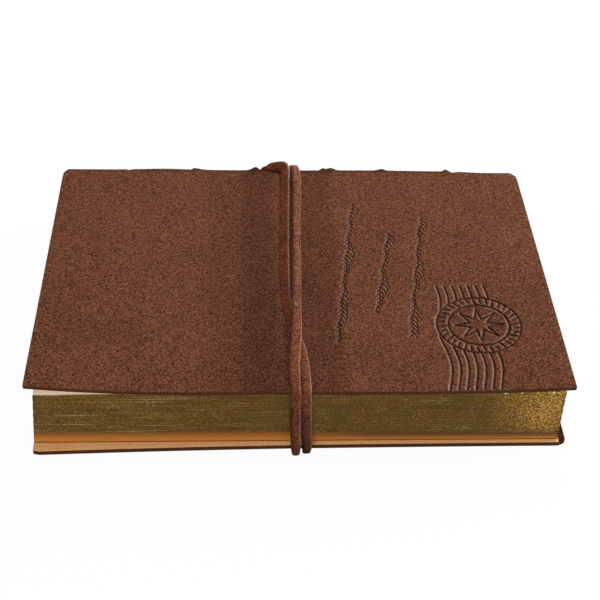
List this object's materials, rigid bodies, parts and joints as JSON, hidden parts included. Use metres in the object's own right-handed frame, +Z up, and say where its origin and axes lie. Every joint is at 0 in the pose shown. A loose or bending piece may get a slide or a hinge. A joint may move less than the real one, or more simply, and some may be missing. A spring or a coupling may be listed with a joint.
{
  "type": "leather journal",
  "caption": "Soft leather journal with gilt page edges and a long-stitch spine, lying closed and tied with a flat suede lace wound round its middle.",
  "frame": {"origin": "on the table, under the middle of the tied book", "axes": "+X along the book from its tail to its head, +Y from the fore-edge to the spine, +Z up through the front cover"},
  "size_m": [0.185, 0.1378, 0.0319],
  "materials": {
    "cover_leather": "matte grained brown leather, tan on the inside",
    "gilt_paper": "cream paper with bronze-gilt edges",
    "waxed_thread": "waxed brown linen thread",
    "suede_lace": "flat suede lace, reddish brown"
  },
  "bodies": {
    "root": {"leather_cover": "cover_leather", "page_block": "gilt_paper", "sewing_thread": "waxed_thread", "wrap_lace": "suede_lace"}
  },
  "joints": []
}
